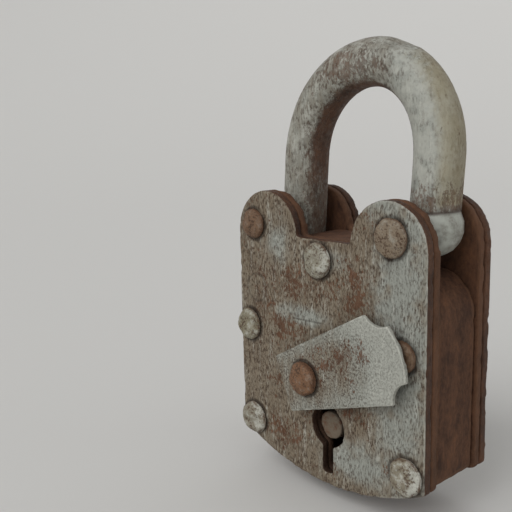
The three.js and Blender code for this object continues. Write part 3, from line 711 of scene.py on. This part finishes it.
def bar_finish(name):
    finish = Finish(name)
    dashes = grain(finish, 0.6, 2.5, 31.0)
    rust_mask = speckle(finish, finish.mask("rust") - finish.mask("clean") * 0.3, 9.0)
    base = pale_colour(finish, 0.4 + finish.mask("clean") * 0.75, dashes)
    worn = finish.step(finish.noise(3.2, 5.0, 0.65, shift=41.0) + finish.mask("clean") * 0.12, 0.45, 0.68)
    base = finish.mix(worn * 0.45, base, CHALK)
    base = finish.mix(finish.mask("yellow") * (0.35 + 0.5 * finish.noise(6.0, 3.0)), base, BAR_YELLOW)
    ball = finish.mask("ball")
    blotches = finish.step(finish.noise(3.6, 6.0, 0.65, shift=8.0), 0.40, 0.70)
    base = finish.mix(ball * 0.9, base, finish.mix(blotches * 0.7, BALL_PALE, GRAIN_BROWN))
    rusty = rust_colour(finish, 13.0)
    base = finish.mix(rust_mask * 0.6 * (1 - ball * 0.6), base, rusty)
    # Rust with painted shade on the inner faces of the bow.
    base = finish.mix(finish.step(finish.mask("inside") + dashes * 0.3, 0.2, 1.1) * 0.9, base, rusty)
    base = finish.mix(finish.mask("collar") * 0.85, base, RUST_DARK)
    roughness = 0.6 + rust_mask * 0.2 - ball * 0.3
    relief = (1 - finish.step(dashes, 0.5, 0.7)) * 0.4 + finish.noise(0.6, 4.0, 0.7) * (0.3 + rust_mask * 0.6)
    return finish.surface(base, roughness, relief * (1 - ball * 0.7), 0.12, shine=0.45)


shackle.data.materials.append(bar_finish("worn_bar"))
print("shackle painted")

# %% [markdown]
# ## The rivets
# Each rivet was headed with a hammer, so no two heads are alike: some stayed domed, others were
# beaten flat with a thick rim. Their colours differ as much as their shapes, and their back
# heads are brown. One table says what each one is, and one function makes them all.

# %% Rivets
# The white column sets how much a front head is whitened: chalky worn patches and a painted highlight on its
# hinge side.
RIVETS = {
    "hinge_rivet": {"skin": colour(132, 117, 98), "white": 0.35, "rust": 0.5, "flat": 0.1, "dent": 0.3},
    "top_rivet": {"skin": colour(142, 137, 121), "white": 0.75, "rust": 0.6, "flat": 0.1, "dent": 0.5},
    "mid_rivet_left": {"skin": colour(131, 124, 103), "white": 0.6, "rust": 0.5, "flat": 0.35, "dent": 0.45},
    "mid_rivet_right": {"skin": colour(112, 88, 66), "white": 0.1, "rust": 0.6, "flat": 0.3, "dent": 0.4},
    "low_rivet_left": {"skin": colour(138, 131, 115), "white": 0.75, "rust": 0.45, "flat": 0.25, "dent": 0.5},
    "low_rivet_right": {"skin": colour(138, 130, 112), "white": 0.9, "rust": 0.6, "flat": 0.1, "dent": 0.55},
    "toe_ear_rivet_front": {
        "skin": colour(114, 87, 65), "white": 0.15, "rust": 0.5, "flat": 0.1, "dent": 0.3,
    },
    "toe_ear_rivet_back": {"skin": colour(112, 87, 66), "white": 0.15, "rust": 0.6, "flat": 0.2, "dent": 0.3},
    "cover_rivet": {"skin": colour(122, 88, 62), "white": 0.2, "rust": 0.5, "flat": 0.0, "dent": 0.35},
}
BACK_HEAD = colour(116, 97, 78)


def rivet_finish(name, settings):
    finish = Finish(name)
    seed = head_of(name)[0]
    grains = finish.noise(0.55, 4.0, 0.75, shift=seed)
    clouds = finish.noise(2.4, 4.0, 0.65, shift=seed + 5.0)
    behind = finish.step(finish.along("Y"), -1.0, 1.0)
    skin_colour = finish.mix(behind, settings["skin"], BACK_HEAD)
    # Painted highlight: each front head is whitened on its hinge side, mixed with chalky worn patches.
    hinge_side_highlight = finish.step(finish.along("X") - seed, -1.0, 3.0) * settings["white"]
    bright = finish.step(clouds * 0.6 + grains * 0.4 + hinge_side_highlight * 0.12, 0.5, 0.64) * (1 - behind)
    base = finish.mix(bright * settings["white"], skin_colour, CHALK)
    rust_mask = finish.step(grains * 0.55 + (1 - clouds) * 0.45 + settings["rust"] * 0.1, 0.55, 0.66)
    base = finish.mix(rust_mask * 0.7, base, rust_colour(finish, 17.0))
    base = finish.mix(finish.step(grains * 0.7 + (1 - clouds) * 0.3, 0.50, 0.60) * 0.75, base, GRAIN_BROWN)
    base = finish.mix(finish.mask("side") * 0.6, base, RUST)
    # Painted shade, with some grime, round the foot of the head.
    base = finish.mix(finish.mask("grime_and_shade") * 0.85, base, SHADE_AND_GRIME)
    relief = finish.noise(0.5, 5.0, 0.75) + grains * 0.8
    return finish.surface(base, 0.58 + rust_mask * 0.22, relief, 0.2, shine=0.4)


def worn_rivet(node, settings, seat):
    """A hammered rivet. seat is how far its front head's underside lies along Y, in mm."""
    rivet = worn_copy(node, 0.25, bevel=0.25)
    skin = Skin(rivet)
    skin.relax(8)
    proud = np.maximum(seat - skin.points[:, 1], skin.points[:, 1] - BACK_FACE)
    tallest = proud.max()
    x, z, _ = head_of(node)
    on_head = rise(proud, 0.1, 0.5)
    beaten = np.maximum(proud - tallest * (1 - 0.45 * settings["flat"]), 0)
    skin.press(beaten * on_head)
    skin.press(settings["dent"] * on_head * rise(skin.noise(2.6, x), -0.3, 0.7))
    skin.press(0.12 * on_head * rise(skin.noise(0.9, z), 0.2, 0.6))
    skin.mark("side", (1 - rise(abs(skin.normals()[:, 1]), 0.3, 0.75)) * on_head)
    # Painted shade, with some grime, where the head meets the plate.
    skin.mark("grime_and_shade", 1 - rise(proud, 0.02, 0.4))
    rivet.data.materials.append(rivet_finish(node, settings))
    return rivet


COVER_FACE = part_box("keyhole_cover")[0].y / MM
for node, settings in RIVETS.items():
    piece = worn_rivet(node, settings, COVER_FACE if node == "cover_rivet" else FRONT_FACE)
    print(piece.name, len(piece.data.polygons), "faces")

# %% [markdown]
# ## The keyhole cover
# The cover is a fishtail of thinner sheet that swings on its own rivet. Its filed bevel still shows
# as a bright line along the broad end, and rust has spread from the rivet up the middle.

# %% Keyhole cover and its washer
pivot = next(joint for joint in frame["joints"] if joint["name"] == "cover_swing")
PIVOT_X = pivot["pos_m"][0] / MM
PIVOT_Z = pivot["pos_m"][2] / MM
COVER_SLOPE = math.radians(23.5)
COVER_RUST = [
    (2.0, 0.0, 7.0, 6.5, 0.9), (11.0, 0.5, 8.0, 4.5, 1.1), (9.0, 5.5, 4.0, 2.5, 0.9),
    (19.0, 3.0, 6.0, 4.0, 0.85), (16.0, -5.0, 5.0, 2.5, 0.7),
]

cover = worn_copy("keyhole_cover", 0.24, bevel=0.5)
skin = Skin(cover)
skin.relax(3)
cover_edge = weather(skin, wave=0.08, chips=0.25, pits=0.05)
across = skin.points[:, 0] - PIVOT_X
up = skin.points[:, 2] - PIVOT_Z
along_cover = across * math.cos(COVER_SLOPE) + up * math.sin(COVER_SLOPE)
beside_cover = up * math.cos(COVER_SLOPE) - across * math.sin(COVER_SLOPE)
cover_rust = np.zeros(len(across))
for place, offset, half_length, half_width, strength in COVER_RUST:
    spread = np.hypot((along_cover - place) / half_length, (beside_cover - offset) / half_width)
    cover_rust = np.maximum(cover_rust, strength * (1 - rise(spread, 0.3, 1.35)))
rivet_radius = head_of("cover_rivet")[2]
filed = np.maximum(rise(along_cover, 12, 24), rise(-beside_cover, 3, 7))
skin.mark("edge", cover_edge * (0.15 + 0.85 * filed))
skin.mark("rust", cover_rust * (0.8 + 0.5 * skin.noise(3.0) + 0.4 * skin.noise(1.2)))
clean_sides = rise(-beside_cover, 3, 9) * 0.3 + rise(beside_cover, 4, 9) * 0.25
skin.mark("clean", 0.25 + rise(along_cover, 12, 27) * 0.65 + clean_sides)
# Painted shade, with some grime, round the cover rivet's head.
skin.mark("grime_and_shade", 1 - rise(np.hypot(across, up) - rivet_radius, 0.1, 1.3))
skin.mark("side", rise(skin.normals()[:, 1], -0.1, 0.5))
cover.data.materials.append(plate_finish("cover_plate", dash=1.4, chalk=0.4, rim=0.8))
print(cover.name, len(cover.data.polygons), "faces")

washer = worn_copy("cover_washer", 0.3, bevel=0.2)
skin = Skin(washer)
skin.relax(2)
skin.mark("edge", weather(skin, wave=0.05, chips=0.1, pits=0.05))
washer.data.materials.append(liner_finish)
print(washer.name, len(washer.data.polygons), "faces")

# %% [markdown]
# ## Inside the lock
# The key turns on a post that can be seen through the keyhole, mottled and dull. The bolt, its
# spring, pins and wards stay dark: they keep the frame's own shapes and only take a finish.

# %% Key post and inner iron
POST_GREY = colour(112, 102, 88)
INNER_IRON = ["ward_ring_front", "ward_ring_back", "bolt", "bolt_guide_pin_left", "bolt_guide_pin_right",
              "bolt_spring", "spring_pin"]


def inner_finish(name, ground, share):
    finish = Finish(name)
    mottle = finish.step(finish.noise(1.4, 5.0, 0.7), 0.3, 0.55)
    base = finish.mix(mottle * share, rust_colour(finish, 3.0), ground)
    return finish.surface(base, 0.7 + mottle * 0.1, finish.noise(0.5, 4.0, 0.7), 0.1)


post = worn_copy("key_post", 0.28, bevel=0.3)
skin = Skin(post)
skin.relax(3)
weather(skin, wave=0.1, chips=0.3, pits=0.06)
post.data.materials.append(inner_finish("key_post_end", POST_GREY, 0.9))
inner_iron = inner_finish("inner_iron", GRAIN_BROWN, 0.5)
for node in INNER_IRON:
    frame["nodes"][node].data.materials.clear()
    frame["nodes"][node].data.materials.append(inner_iron)
print(post.name, len(post.data.polygons), "faces, and", len(INNER_IRON), "inner pieces")

# %% [markdown]
# Wear only takes material away, so the finished lock may not be larger than the frame's own box.

# %% Triangle count
triangles = sum(len(piece.data.loop_triangles) or 2 * len(piece.data.polygons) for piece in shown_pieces())
print("about", triangles, "triangles")
